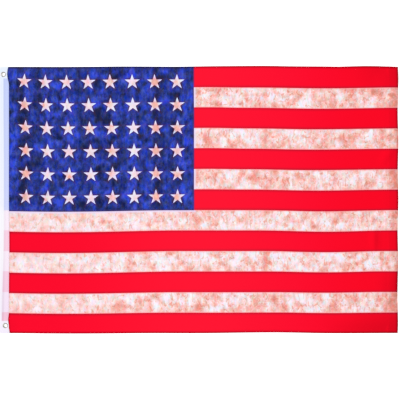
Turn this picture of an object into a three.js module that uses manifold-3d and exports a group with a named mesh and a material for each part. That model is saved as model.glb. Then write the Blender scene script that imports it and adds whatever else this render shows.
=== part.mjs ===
// A two by three foot printed flag that lies face up and flat: one hemmed cloth, a white tape
// folded round its hoist edge, and a two-part metal eyelet near each end of the tape.
// Millimetres. +X runs from the hoist to the fly, +Y up the flag and +Z out of its face.

import * as THREE from "three";
import { mergeVertices } from "three/addons/utils/BufferGeometryUtils.js";
import Module from "manifold-3d";

const wasm = await Module();
wasm.setup();

// Driving dimensions
const flagLength = 904;
const flagHeight = 600;
const sheet = 1;
const gap = 0.3;

const bandWidth = 25;
const bandThickness = 3 * sheet + 2 * gap;
const turnedEnd = 26;
const slotReach = 16.4;
const topLap = 12;
const bottomLap = 15.4;

const hemThickness = 1.6;
const edgeHem = 9;
const flyHem = 21;
const hemStep = 2;
const settleLength = 24;
const ridgedLength = 130;
const flyWaver = { height: 0.7, wave: 132, crestY: 262, lean: 0.6, length: 60 };

const boreRadius = 3.7;
const barrelWall = 0.5;
const flangeRadius = 5.8;
const flangeHeight = 0.9;
const washerHeight = 0.9;
const metalChamfer = 0.3;
const clampedThickness = 1.8;
const roundSegments = 24;

// Eyelet centres: from the band's outer edge, and from the flag's nearer long edge.
const eyelets = [
  { name: "top", fromHoist: 12.7, fromEnd: 17.3, side: 1 },
  { name: "bottom", fromHoist: 17, fromEnd: 16.2, side: -1 },
];

// Where the cloth lies out of square: centre, reach and shift of each gentle pull.
const pulls = [
  { at: [-307, -140], reach: [270, 300], shift: [0, -4.6] },
  { at: [-278, 169], reach: [170, 200], shift: [0, -2.2] },
  { at: [287, 0], reach: [170, 405], shift: [0, -3] },
  { at: [149, 302], reach: [135, 42], shift: [0, 1.9] },
  { at: [384, 302], reach: [68, 34], shift: [0, 1.7] },
  { at: [144, -300], reach: [158, 56], shift: [0, 1.3] },
];

// Low soft ridges, most of them near the fly: centre, half length and half width, turn and lift.
const ridges = [
  { at: [393, -276], reach: [96, 26], turn: -4, lift: 3.4 },
  { at: [446, -186], reach: [20, 48], turn: 0, lift: 2.6 },
  { at: [400, -89], reach: [18, 42], turn: 4, lift: 2 },
  { at: [428, 101], reach: [15, 34], turn: -38, lift: 2 },
  { at: [432, 272], reach: [42, 26], turn: 10, lift: 2.8 },
  { at: [-412, 276], reach: [20, 34], turn: 0, lift: 1.2 },
];

const hoistX = -flagLength / 2;
const flyX = flagLength / 2;
const bandEdgeX = hoistX + bandWidth;
const topY = flagHeight / 2;

const clothColour = { color: 0xd8152f, roughness: 0.75, metalness: 0 };
const bandColour = { color: 0xeef2fb, roughness: 0.8, metalness: 0 };
const metalColour = { color: 0xb8b4a8, roughness: 0.3, metalness: 1 };

function smoothStep(value) {
  const t = THREE.MathUtils.clamp(value, 0, 1);
  return t * t * (3 - 2 * t);
}

// One at the centre of a patch, falling smoothly to nothing at its rim.
function softPatch(x, y, patch) {
  const turn = THREE.MathUtils.degToRad(patch.turn ?? 0);
  const offset = new THREE.Vector2(x - patch.at[0], y - patch.at[1]);
  offset.rotateAround(new THREE.Vector2(), -turn);
  const far = (offset.x / patch.reach[0]) ** 2 + (offset.y / patch.reach[1]) ** 2;
  return far < 1 ? (1 - far) ** 2 : 0;
}

function plainSolid(geometry) {
  geometry.deleteAttribute("normal");
  geometry.deleteAttribute("uv");
  return mergeVertices(geometry, 1e-3);
}

function toManifold(geometry) {
  const merged = plainSolid(geometry);
  const vertProperties = new Float32Array(merged.attributes.position.array);
  const triVerts = new Uint32Array(merged.index.array);
  return new wasm.Manifold(new wasm.Mesh({ numProp: 3, vertProperties, triVerts }));
}

function fromManifold(solid) {
  const mesh = solid.getMesh();
  const geometry = new THREE.BufferGeometry();
  geometry.setAttribute("position", new THREE.BufferAttribute(mesh.vertProperties, 3));
  geometry.setIndex(new THREE.BufferAttribute(mesh.triVerts, 1));
  return mergeVertices(geometry, 1e-3);
}

function namedMesh(name, geometry, colour) {
  const mesh = new THREE.Mesh(geometry, new THREE.MeshStandardMaterial(colour));
  mesh.name = name;
  return mesh;
}

function boxBetween(low, high) {
  const size = high.map((value, axis) => value - low[axis]);
  const box = new THREE.BoxGeometry(...size);
  box.translate(...low.map((value, axis) => value + size[axis] / 2));
  return box;
}

function uprightCylinder(radius, low, high, x, y) {
  const cylinder = new THREE.CylinderGeometry(radius, radius, high - low, roundSegments);
  cylinder.rotateX(Math.PI / 2);
  cylinder.translate(x, y, (low + high) / 2);
  return cylinder;
}

function evenSteps(from, to, count) {
  return Array.from({ length: count }, (_, step) => THREE.MathUtils.lerp(from, to, step / count));
}

// The flat cloth's grid lines: close together over the hoist step, the hems and the fly's ridges.
const settledX = bandEdgeX + settleLength;
const acrossLines = [
  bandEdgeX - topLap,
  ...evenSteps(bandEdgeX, settledX, 3),
  ...evenSteps(settledX, flyX - ridgedLength, 12),
  ...evenSteps(flyX - ridgedLength, flyX - flyHem - hemStep, 9),
  flyX - flyHem - hemStep,
  flyX - flyHem,
  flyX,
];
const upLines = [
  -topY,
  -topY + edgeHem,
  ...evenSteps(-topY + edgeHem + hemStep, topY - edgeHem - hemStep, 34),
  topY - edgeHem - hemStep,
  topY - edgeHem,
  topY,
];

// The fly edge runs in and out a little between the two hemmed corners.
function flyShift(x, y) {
  const { height, wave, crestY, lean, length } = flyWaver;
  const inAndOut = height * (Math.cos(2 * Math.PI * (y - crestY) / wave) - 1);
  const leaning = lean * smoothStep(-y / topY);
  return (inAndOut - leaning) * smoothStep((x - flyX + length) / length);
}

function clothThickness(x, y) {
  const onLongHem = topY - Math.abs(y) <= edgeHem;
  const onFlyHem = flyX - x <= flyHem;
  return x >= settledX && (onLongHem || onFlyHem) ? hemThickness : sheet;
}

// Inside the band the cloth lies on the lower tape; past it, it settles on to the surface.
function clothUnderside(x, y) {
  const settled = smoothStep((x - bandEdgeX) / settleLength);
  const lifts = ridges.map((ridge) => ridge.lift * softPatch(x, y, ridge));
  const lift = lifts.reduce((total, value) => total + value, 0);
  return (sheet + gap) * (1 - settled) + lift * settled;
}

function clothPlace(x, y) {
  const place = new THREE.Vector2(x, y);
  for (const pull of pulls) {
    const share = softPatch(x, y, pull) * smoothStep((x - bandEdgeX) / settleLength);
    place.add(new THREE.Vector2(...pull.shift).multiplyScalar(share));
  }
  place.x += flyShift(x, y);
  return place;
}

function makeCloth() {
  const across = acrossLines.length - 1;
  const up = upLines.length - 1;
  const grid = new THREE.BoxGeometry(across, up, 1, across, up, 1);
  const points = grid.attributes.position;
  for (let index = 0; index < points.count; index += 1) {
    const column = Math.round(points.getX(index) + across / 2);
    const y = upLines[Math.round(points.getY(index) + up / 2)];
    const hidden = column === 0 ? (bottomLap - topLap) * (topY - y) / flagHeight : 0;
    const x = acrossLines[column] - hidden;
    const place = clothPlace(x, y);
    const rise = points.getZ(index) > 0 ? clothThickness(x, y) : 0;
    points.setXYZ(index, place.x, place.y, clothUnderside(x, y) + rise);
  }
  let cloth = toManifold(grid);
  for (const side of [-1, 1]) {
    const inner = side * (topY - turnedEnd - gap);
    const outer = side * (topY + turnedEnd);
    const low = [hoistX, Math.min(inner, outer), -1];
    const high = [bandEdgeX + gap, Math.max(inner, outer), bandThickness];
    cloth = cloth.subtract(toManifold(boxBetween(low, high)));
  }
  return namedMesh("flag_cloth", fromManifold(cloth), clothColour);
}

// One tape folded lengthwise. Its ends are turned in, so the pocket for the cloth stops short of them.
function makeBand() {
  const foldRadius = bandThickness / 2;
  const section = new THREE.Shape();
  section.moveTo(bandEdgeX, 0);
  section.lineTo(bandEdgeX, bandThickness);
  section.lineTo(hoistX + foldRadius, bandThickness);
  section.absarc(hoistX + foldRadius, foldRadius, foldRadius, Math.PI / 2, 1.5 * Math.PI, false);
  section.closePath();
  const options = { depth: flagHeight, steps: 1, curveSegments: 6, bevelEnabled: false };
  const tape = new THREE.ExtrudeGeometry(section, options);
  tape.rotateX(Math.PI / 2);
  tape.translate(0, topY, 0);

  const slotY = topY - turnedEnd;
  const slotLow = [bandEdgeX - slotReach, -slotY, sheet];
  const slotHigh = [bandEdgeX + 1, slotY, bandThickness - sheet];
  let band = toManifold(tape).subtract(toManifold(boxBetween(slotLow, slotHigh)));

  const barrelHole = boreRadius + barrelWall + gap;
  const seatRadius = flangeRadius + gap;
  const lowerSeat = washerHeight + gap;
  for (const eyelet of eyelets) {
    const x = hoistX + eyelet.fromHoist;
    const y = eyelet.side * (topY - eyelet.fromEnd);
    const cuts = [
      uprightCylinder(barrelHole, -1, bandThickness + 1, x, y),
      uprightCylinder(seatRadius, -1, lowerSeat, x, y),
      uprightCylinder(seatRadius, lowerSeat + clampedThickness, bandThickness + 1, x, y),
    ];
    for (const cut of cuts) {
      band = band.subtract(toManifold(cut));
    }
  }
  return namedMesh("header_band", fromManifold(band), bandColour);
}

// A ring turned from a closed outline of radius and height, listed anticlockwise.
function turnedRing(outline) {
  const profile = [...outline, outline[0]].map(([radius, height]) => new THREE.Vector2(radius, height));
  const ring = new THREE.LatheGeometry(profile, roundSegments);
  ring.rotateX(Math.PI / 2);
  return plainSolid(ring);
}

function makeEyelet(eyelet) {
  const barrelRadius = boreRadius + barrelWall;
  const seat = washerHeight + gap + clampedThickness + gap;
  const crown = seat + flangeHeight;
  const flanged = turnedRing([
    [boreRadius, gap],
    [barrelRadius, gap],
    [barrelRadius, seat],
    [flangeRadius, seat],
    [flangeRadius, crown - metalChamfer],
    [flangeRadius - metalChamfer, crown],
    [barrelRadius, crown],
    [boreRadius, crown - metalChamfer],
  ]);
  const washer = turnedRing([
    [barrelRadius + gap, 0],
    [flangeRadius - metalChamfer, 0],
    [flangeRadius, metalChamfer],
    [flangeRadius, washerHeight],
    [barrelRadius + gap, washerHeight],
  ]);
  const pair = new THREE.Group();
  pair.add(namedMesh(`eyelet_${eyelet.name}`, flanged, metalColour));
  pair.add(namedMesh(`washer_${eyelet.name}`, washer, metalColour));
  pair.position.set(hoistX + eyelet.fromHoist, eyelet.side * (topY - eyelet.fromEnd), 0);
  return pair;
}

const flag = new THREE.Group();
flag.add(makeCloth(), makeBand(), ...eyelets.map(makeEyelet));

// The origin is under the middle of the whole flag.
const middle = new THREE.Box3().setFromObject(flag).getCenter(new THREE.Vector3());
flag.position.set(-middle.x, -middle.y, 0);
flag.updateMatrixWorld(true);

export default flag;
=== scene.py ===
from math import ceil, cos, pi, radians, sin, tau

import bmesh
import bpy
import numpy as np
from mathutils import Color, Matrix, Vector


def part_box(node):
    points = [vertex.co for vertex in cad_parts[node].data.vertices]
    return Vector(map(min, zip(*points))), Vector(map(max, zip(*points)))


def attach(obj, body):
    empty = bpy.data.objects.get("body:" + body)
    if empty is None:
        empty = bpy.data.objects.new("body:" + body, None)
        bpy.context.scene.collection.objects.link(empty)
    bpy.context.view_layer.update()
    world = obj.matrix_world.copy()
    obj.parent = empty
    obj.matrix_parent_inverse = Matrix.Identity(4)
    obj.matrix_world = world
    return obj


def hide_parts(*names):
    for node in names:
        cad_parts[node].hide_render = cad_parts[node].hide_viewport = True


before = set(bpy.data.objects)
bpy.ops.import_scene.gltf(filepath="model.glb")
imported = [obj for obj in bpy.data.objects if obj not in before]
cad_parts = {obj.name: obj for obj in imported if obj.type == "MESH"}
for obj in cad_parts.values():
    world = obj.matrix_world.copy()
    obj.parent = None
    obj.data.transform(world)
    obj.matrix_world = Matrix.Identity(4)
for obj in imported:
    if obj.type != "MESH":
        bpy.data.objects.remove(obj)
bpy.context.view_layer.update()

mm = 0.001
bandLow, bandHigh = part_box("header_band")
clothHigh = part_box("flag_cloth")[1]

# The flat flag is measured from its middle: x from the hoist to the fly, y up its face.
middle = Vector(((bandLow.x + clothHigh.x) / 2, (bandLow.y + bandHigh.y) / 2, 0))
halfLength = (clothHigh.x - bandLow.x) / 2
halfHeight = (bandHigh.y - bandLow.y) / 2
bandWidth = bandHigh.x - bandLow.x
bandEdge = bandWidth - halfLength

design = {
    "stripes": 13,
    "cantonStripes": 7,
    "cantonEdge": -9.1 * mm,
    "cantonDrop": 1.0 * mm,  # the canton prints a little over the stripe under it
    "redAbove": 0.1 * mm,  # and each red stripe a little over the white one above it
    "redBelow": 0.9 * mm,  # and more over the one under it
    "firstStar": (-388.5 * mm, 265.9 * mm),
    "starPitch": (48.9 * mm, 51.9 * mm),
    "starGrid": (8, 6),
    "starRadius": 17.4 * mm,
    "firstColumnLift": 1.7 * mm,
    "tilt": (0.07, 0.025),  # the stars nearest the hoist lean, less so from column to column
}
stripeHeight = 2 * halfHeight / design["stripes"]
cantonFoot = halfHeight - design["cantonStripes"] * stripeHeight - design["cantonDrop"]

# Where the cloth lies out of square: centre, reach and shift of each gentle pull.
pulls = [
    {"at": (-307, -140), "reach": (270, 300), "shift": (0, -4.6)},
    {"at": (-278, 169), "reach": (170, 200), "shift": (0, -2.2)},
    {"at": (287, 90), "reach": (170, 420), "shift": (0, -2.6)},
    {"at": (330, 90), "reach": (130, 150), "shift": (0, 0.9)},
    {"at": (290, -130), "reach": (120, 200), "shift": (0, -1.2)},
    {"at": (20, 150), "reach": (90, 220), "shift": (0, 1.3)},
    {"at": (-190, 302), "reach": (240, 40), "shift": (0, 0.9)},
    {"at": (300, 302), "reach": (110, 40), "shift": (0, 1.5)},
    {"at": (360, -300), "reach": (200, 110), "shift": (0, -1.6)},
    {"at": (-20, -300), "reach": (330, 60), "shift": (0, -0.8)},
    {"at": (460, 70), "reach": (60, 280), "shift": (0.6, 0)},
    {"at": (150, 302), "reach": (220, 42), "shift": (0, 2.4)},
    {"at": (384, 302), "reach": (76, 34), "shift": (0, 2.2)},
    {"at": (144, -300), "reach": (158, 56), "shift": (0, 1.3)},
    {"at": (40, -271), "reach": (400, 180), "shift": (0, -1)},
    {"at": (-255, 316), "reach": (294, 248), "shift": (-7.2, 0)},
]

# Low soft ridges, most of them near the fly: centre, reach, turn and lift.
ridges = [
    {"at": (393, -276), "reach": (96, 26), "turn": -4, "lift": 3.4},
    {"at": (446, -186), "reach": (20, 48), "turn": 0, "lift": 2.6},
    {"at": (400, -89), "reach": (18, 42), "turn": 4, "lift": 2},
    {"at": (428, 101), "reach": (15, 34), "turn": -38, "lift": 2},
    {"at": (432, 272), "reach": (42, 26), "turn": 10, "lift": 2.8},
    {"at": (-412, 276), "reach": (20, 34), "turn": 0, "lift": 1.2},
]


def smoothStep(value):
    t = min(1.0, max(0.0, value))
    return t * t * (3 - 2 * t)


def blendTo(start, end, share):
    return start + (end - start) * share


# One at the centre of a patch, falling smoothly to nothing at its rim. Patches are in millimetres.
def softPatch(x, y, patch):
    turn = radians(patch.get("turn", 0))
    across, up = x / mm - patch["at"][0], y / mm - patch["at"][1]
    along = across * cos(turn) + up * sin(turn)
    aside = up * cos(turn) - across * sin(turn)
    far = (along / patch["reach"][0]) ** 2 + (aside / patch["reach"][1]) ** 2
    return (1 - far) ** 2 if far < 1 else 0.0


def finishMesh(bm, name, materials, smooth=True):
    mesh = bpy.data.meshes.new(name)
    bm.to_mesh(mesh)
    bm.free()
    for polygon in mesh.polygons:
        polygon.use_smooth = smooth
    piece = bpy.data.objects.new(name, mesh)
    bpy.context.scene.collection.objects.link(piece)
    for material in materials:
        mesh.materials.append(material)
    return piece


# The stage is a wide bright white floor under a pale even sky, with one large soft lamp to the left.
stage = {
    "floorSize": 40.0,
    "floorDrop": 0.15 * mm,
    "floorTone": 0.93,
    "floorGlow": 0.45,
    "skyStrength": 0.64,
    "lampAt": (-6.4, 1.0, 9.2),
    "lampSize": 4.6,
    "lampPower": 1010,
    "cameraAt": (4.4 * mm, -0.5 * mm),
    "cameraHeight": 3.2,
    "pictureWidth": 903.2 * mm,
    "sensor": 36.0,
}


def makeStage():
    scene = bpy.context.scene
    scene.view_settings.view_transform = "Standard"
    world = bpy.data.worlds.new("paleSky")
    world.use_nodes = True
    sky = world.node_tree.nodes["Background"]
    sky.inputs["Color"].default_value = (1, 1, 1, 1)
    sky.inputs["Strength"].default_value = stage["skyStrength"]
    scene.world = world

    floorFinish = bpy.data.materials.new("floorWhite")
    floorFinish.use_nodes = True
    shader = floorFinish.node_tree.nodes["Principled BSDF"]
    shader.inputs["Base Color"].default_value = (*[stage["floorTone"]] * 3, 1)
    shader.inputs["Roughness"].default_value = 1.0
    shader.inputs["Specular IOR Level"].default_value = 0.0
    shader.inputs["Emission Color"].default_value = (1, 1, 1, 1)
    shader.inputs["Emission Strength"].default_value = stage["floorGlow"]
    bm = bmesh.new()
    bmesh.ops.create_grid(bm, x_segments=1, y_segments=1, size=stage["floorSize"] / 2)
    bmesh.ops.translate(bm, verts=bm.verts, vec=(0, 0, -stage["floorDrop"]))
    finishMesh(bm, "floor", [floorFinish], smooth=False)

    lampData = bpy.data.lights.new("softLamp", "AREA")
    lampData.energy = stage["lampPower"]
    lampData.size = stage["lampSize"]
    lamp = bpy.data.objects.new("softLamp", lampData)
    lamp.location = stage["lampAt"]
    lamp.rotation_euler = (-Vector(stage["lampAt"])).to_track_quat("-Z", "Y").to_euler()
    scene.collection.objects.link(lamp)

    lens = bpy.data.cameras.new("overhead")
    lens.sensor_width = stage["sensor"]
    lens.lens = stage["sensor"] * stage["cameraHeight"] / stage["pictureWidth"]
    camera = bpy.data.objects.new("overhead", lens)
    camera.location = (*stage["cameraAt"], stage["cameraHeight"])
    scene.collection.objects.link(camera)
    scene.camera = camera


makeStage()
print("stage, lamp and camera are ready")


# A colour on a 0 to 255 scale, as the linear colour that a shader takes.
def paint(tone):
    return (*Color([part / 255 for part in tone]).from_srgb_to_scene_linear(), 1)


# One output of a node. Arithmetic on it adds Math nodes.
class Wire:
    def __init__(self, finish, socket):
        self.finish = finish
        self.socket = socket

    def math(self, operation, *values):
        return self.finish.add("ShaderNodeMath", {"operation": operation}, dict(enumerate(values)))

    def __add__(self, other):
        return self.math("ADD", self, other)

    def __sub__(self, other):
        return self.math("SUBTRACT", self, other)

    def __rsub__(self, other):
        return self.math("SUBTRACT", other, self)

    def __mul__(self, other):
        return self.math("MULTIPLY", self, other)

    def __truediv__(self, other):
        return self.math("DIVIDE", self, other)

    def __mod__(self, other):
        return self.math("FLOORED_MODULO", self, other)

    __radd__ = __add__

    def floor(self):
        return self.math("FLOOR", self)

    def size(self):
        return self.math("ABSOLUTE", self)

    def least(self, other):
        return self.math("MINIMUM", self, other)

    def most(self, other):
        return self.math("MAXIMUM", self, other)

    def above(self, limit):
        return self.math("GREATER_THAN", self, limit)

    def ease(self, low, high):
        settings = {"interpolation_type": "SMOOTHSTEP"}
        return self.finish.add("ShaderNodeMapRange", settings, {0: self, 1: low, 2: high})


# A material and the one method that adds its nodes.
class Finish:
    def __init__(self, name):
        self.material = bpy.data.materials.new(name)
        self.material.use_nodes = True
        self.tree = self.material.node_tree
        self.shader = self.tree.nodes["Principled BSDF"]

    def add(self, kind, settings=None, inputs=None, output=0):
        node = self.tree.nodes.new(kind)
        for key, value in (settings or {}).items():
            if key == "stops":
                self.setStops(node.color_ramp, value)
            else:
                setattr(node, key, value)
        for key, value in (inputs or {}).items():
            self.feed(node.inputs[key], value)
        return Wire(self, node.outputs[output])

    def feed(self, socket, value):
        if isinstance(value, Wire):
            self.tree.links.new(value.socket, socket)
        else:
            socket.default_value = value

    def setStops(self, ramp, stops):
        while len(ramp.elements) < len(stops):
            ramp.elements.new(0.5)
        for element, (place, colour) in zip(ramp.elements, stops):
            element.position = place
            element.color = colour

    def ramp(self, value, stops):
        return self.add("ShaderNodeValToRGB", {"stops": stops}, {0: value})

    def mix(self, share, first, second, style="MIX"):
        settings = {"data_type": "RGBA", "blend_type": style}
        return self.add("ShaderNodeMix", settings, {0: share, 6: first, 7: second}, 2)

    def noise(self, place, scale, detail=2.0, rough=0.5, output=0):
        inputs = {"Vector": place, "Scale": scale, "Detail": detail, "Roughness": rough}
        return self.add("ShaderNodeTexNoise", {}, inputs, output)

    def layer(self, name):
        place = self.add("ShaderNodeUVMap", {"uv_map": name})
        return place, self.part(place, 0), self.part(place, 1)

    def part(self, place, axis):
        return self.add("ShaderNodeSeparateXYZ", {}, {0: place}, axis)

    def value(self, name):
        return self.add("ShaderNodeAttribute", {"attribute_name": name}, {}, 2)

    def bump(self, height, strength, distance):
        inputs = {"Height": height, "Strength": strength, "Distance": distance}
        return self.add("ShaderNodeBump", {}, inputs)

    def done(self, **sockets):
        for name, value in sockets.items():
            self.feed(self.shader.inputs[name.replace("_", " ")], value)
        return self.material


# The print: mottled blue canton, clean red stripes and stained white ones, plus painted sheen and shade.
tones = {
    "red": [
        (0.00, (250, 84, 98)), (0.10, (222, 34, 56)), (0.24, (192, 14, 42)), (0.38, (204, 16, 44)),
        (0.60, (238, 13, 44)), (1.00, (252, 10, 44)),
    ],
    "canton": [
        (0.00, (31, 36, 75)), (0.08, (33, 40, 85)), (0.19, (36, 46, 101)), (0.32, (39, 51, 119)),
        (0.46, (42, 56, 137)), (0.60, (46, 63, 157)), (0.74, (51, 69, 176)), (0.88, (55, 75, 196)),
        (1.00, (58, 79, 216)),
    ],
    "stained": [
        (0.00, (228, 136, 122)), (0.17, (236, 156, 145)), (0.32, (241, 172, 162)),
        (0.47, (244, 188, 180)), (0.60, (247, 204, 199)), (0.73, (248, 217, 217)),
        (0.86, (248, 228, 232)), (1.00, (246, 240, 248)),
    ],
    "star": [
        (0.00, (234, 160, 156)), (0.20, (233, 178, 180)), (0.40, (233, 195, 205)),
        (0.65, (233, 212, 230)), (1.00, (232, 229, 251)),
    ],
    "starTip": (226, 236, 279),
    "starMiddle": (252, 206, 184),
    "starSurround": (92, 34, 40),
    "bluePrinted": (66, 50, 106),
    "redBesideBlue": (196, 28, 84),
    "whiteBesideRed": (255, 172, 176),
    "whiteBesideBlue": (232, 218, 250),
    # painted shade: a darker blue along the rim, where the hem turns under
    "rimShadeBlue": (62, 54, 104),
    # painted sheen: the red is paler towards the middle of the flag
    "redPaintedSheen": (255, 36, 62),
    "redAtFly": (250, 6, 32),
    "streak": (220, 162, 142),
    "paleBack": (244, 236, 240),
}
lightLevel = 1.23  # how bright a pure white, level surface is here, so a tone may reach 279

# Where each tone starts to give way and where it is gone, from its own edge, and its full share.
blends = {
    "redPaintedSheen": (0, 340 * mm, 0.3),
    "redBesideBlue": (0, 3.5 * mm, 0.9),
    "whiteBesideRed": (0, 4 * mm, 0.6),
    "whiteBesideBlue": (1.5 * mm, 6 * mm, 0.85),
    "bluePrinted": (0.5 * mm, 5.5 * mm, 0.7),
    "rimShadeBlue": (0, 9 * mm, 0.6),
    "starSurround": (0.4 * mm, 4.6 * mm, 0.7),
    "starMiddle": (0, 0.6, 0.42),
}

# The same for tones that come in instead.
arrivals = {
    "redAtFly": (200 * mm, 400 * mm, 0.7),
    "starTip": (0.28, 0.85, 0.9),
}

# How much a speckle moves a colour's three parts.
speckles = {
    "white": (0.8, 0.34, 0.42),
    "canton": (2.7, 1.6, -0.4),
    "threads": (0.6, 0.9, 0.3),
    "star": (0.6, 0.4, 0.4),
}

# Print widths and strengths, and the painted shade at the rim and beside the tape's seam.
printAndShade = {
    "redRim": 8 * mm,  # how far in a red stripe's edge tones reach
    "redInside": (1 * mm, 7 * mm),
    "streak": 0.34,
    "starLift": 0.02,
    "openTips": (0.5, 0.95, 0.55),  # the tone round a star fades beside its tips
    # painted shade towards the rim, where the hems turn under
    "rim": (-2 * mm, 7.5 * mm),
    "rimShadeOnWhite": 0.2,
    "rimShadeOnInk": 0.52,
    # painted shade on the ink beside the tape's seam
    "seamShadeOnInk": 0.34,
    "shadeOnWhite": 0.5,
}

# Where the white stripes are stained more: along the fly edge, towards it, and at its top corner.
flyStain = {
    "edge": 24 * mm,
    "edgeDepth": 0.34,
    "towards": (310 * mm, 400 * mm),
    "corner": ((220 * mm, 330 * mm), (150 * mm, 230 * mm)),
    "depth": 0.1,
}


def printTone(tone):
    red, green, blue, solid = paint(tone)
    return (red / lightLevel, green / lightLevel, blue / lightLevel, solid)


def printRamp(stops):
    return [(place, printTone(tone)) for place, tone in stops]


# Lays one of the tones over a colour, as far as its blend says.
def tint(finish, colour, name, place, within=None):
    start, end, share = {**blends, **arrivals}[name]
    level = place.ease(start, end) if name in arrivals else 1 - place.ease(start, end)
    level = level * share if within is None else level * within * share
    return finish.mix(level, colour, printTone(tones[name]))


# The nearest star at each place: how far outside its edge, and how far from its middle as a share of its
# radius.
def starField(finish, x, y):
    columns, rows = design["starGrid"]
    pitchX, pitchY = design["starPitch"]
    firstX, firstY = design["firstStar"]
    column = ((x - firstX) / pitchX + 0.5).floor().most(0).least(columns - 1)
    row = ((firstY - y) / pitchY + 0.5).floor().most(0).least(rows - 1)
    across = x - firstX - column * pitchX
    lift = (1 - column.least(1)) * design["firstColumnLift"]
    up = y - firstY + row * pitchY - lift
    lean = (design["tilt"][0] - column * design["tilt"][1]).most(0)
    turn = finish.add("ShaderNodeMath", {"operation": "ARCTAN2"}, {0: across, 1: up}) - lean
    point = tau / 5
    fromTip = ((turn + point / 2) % point - point / 2).size()
    distance = across * across + up * up
    reach = distance.math("SQRT", distance)
    radius = design["starRadius"]
    notch = radius * sin(radians(18)) / sin(radians(126))  # where a regular star's sides meet
    tip, dent = Vector((radius, 0)), Vector((notch * cos(point / 2), notch * sin(point / 2)))
    side = (tip - dent).normalized()
    outward = Vector((-side.y, side.x))
    along = reach * fromTip.math("COSINE", fromTip)
    aside = reach * fromTip.math("SINE", fromTip)
    beyond = (along - tip.x) * outward.x + aside * outward.y
    return beyond, reach / radius


# How far each place lies inside the canton, and inside the nearest red stripe.
def printPlan(x, y):
    intoCanton = (design["cantonEdge"] - x).least(y - cantonFoot)
    fromTop = ((halfHeight - y) / stripeHeight).most(0).least(design["stripes"] - 0.001)
    border = (fromTop + 0.5).floor().most(1).least(design["stripes"] - 1)
    side = 1 - (fromTop.floor() % 2) * 2
    spread = (border % 2) * (design["redBelow"] - design["redAbove"]) + design["redAbove"]
    intoRed = (fromTop - border).size() * stripeHeight * side + spread
    return intoCanton, intoRed


def greyTone(finish, value):
    return finish.add("ShaderNodeCombineColor", {}, {0: value, 1: value, 2: value})


# A colour made lighter and darker, by different amounts in its three parts.
def speckle(finish, colour, change, amounts):
    steady = [1 - amount / 2 for amount in amounts]
    inputs = {0: change, 1: amounts, 2: steady}
    scale = finish.add("ShaderNodeVectorMath", {"operation": "MULTIPLY_ADD"}, inputs)
    return finish.add("ShaderNodeVectorMath", {"operation": "MULTIPLY"}, {0: colour, 1: scale})


# The printed colour, with a painted sheen on the red and painted shade at the rim, beside the tape's
# seam and in the shade patches.
def printWithPaintedLight(finish, x, y, ink, stain, change, streak=0, seam=0, dim=0):
    intoCanton, intoRed = printPlan(x, y)
    outOfCanton, outOfRed = intoCanton * -1, intoRed * -1
    fromRim = (halfHeight - y.size()).least(halfLength - x).size()

    red = finish.ramp(intoRed / printAndShade["redRim"], printRamp(tones["red"]))
    # Painted sheen: the red turns paler towards the middle of the flag.
    red = tint(finish, red, "redPaintedSheen", x.size())
    red = tint(finish, red, "redAtFly", x, intoRed.ease(*printAndShade["redInside"]))
    red = tint(finish, red, "redBesideBlue", outOfCanton)

    handled = (1 - (halfLength - x).ease(0, flyStain["edge"])) * flyStain["edgeDepth"]
    alongX, upY = flyStain["corner"]
    nearFly = x.ease(*flyStain["towards"]) + x.ease(*alongX) * y.ease(*upY)
    white = finish.ramp(stain - handled - nearFly * flyStain["depth"], printRamp(tones["stained"]))
    white = speckle(finish, white, change, speckles["white"])
    white = finish.mix(streak * printAndShade["streak"], white, printTone(tones["streak"]))
    white = tint(finish, white, "whiteBesideRed", outOfRed)
    white = tint(finish, white, "whiteBesideBlue", outOfCanton)
    stripes = finish.mix(intoRed.above(0), white, red)

    canton = finish.ramp(ink, printRamp(tones["canton"]))
    canton = speckle(finish, canton, finish.part(change, 0), speckles["canton"])
    canton = speckle(finish, canton, change, speckles["threads"])
    canton = tint(finish, canton, "bluePrinted", intoCanton)
    # Painted shade: the blue darkens towards the rim.
    canton = tint(finish, canton, "rimShadeBlue", fromRim)
    beyond, fromMiddle = starField(finish, x, y)
    tipStart, tipEnd, opened = printAndShade["openTips"]
    closed = 1 - fromMiddle.ease(tipStart, tipEnd) * opened
    canton = tint(finish, canton, "starSurround", beyond, closed)
    star = finish.ramp(stain + printAndShade["starLift"], printRamp(tones["star"]))
    star = tint(finish, star, "starMiddle", fromMiddle)
    star = tint(finish, star, "starTip", fromMiddle)
    star = speckle(finish, star, change, speckles["star"])
    canton = finish.mix(beyond.above(0), star, canton)
    colours = finish.mix(intoCanton.above(0), stripes, canton)

    # Painted shade: darker towards the rim where the hems turn under, less on the white; darker ink
    # beside the tape's seam; and the shade patches.
    inked = intoRed.above(0).most(intoCanton.above(0))
    atRim = 1 - fromRim.ease(*printAndShade["rim"])
    shade = 1 - atRim * (printAndShade["rimShadeOnWhite"] + inked * printAndShade["rimShadeOnInk"])
    inShade = (inked * (1 - printAndShade["shadeOnWhite"]) + printAndShade["shadeOnWhite"]) * dim
    shade = shade * (1 - inked * seam * printAndShade["seamShadeOnInk"]) * (1 - inShade)
    return finish.mix(1.0, colours, greyTone(finish, shade), "MULTIPLY")


# Plain weave: rows of small bumps that change over at every thread.
def weaveHeight(x, y, thread):
    warp = (x * (pi / thread)).math("SINE", x * (pi / thread))
    weft = (y * (pi / thread)).math("SINE", y * (pi / thread))
    return warp * weft


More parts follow.
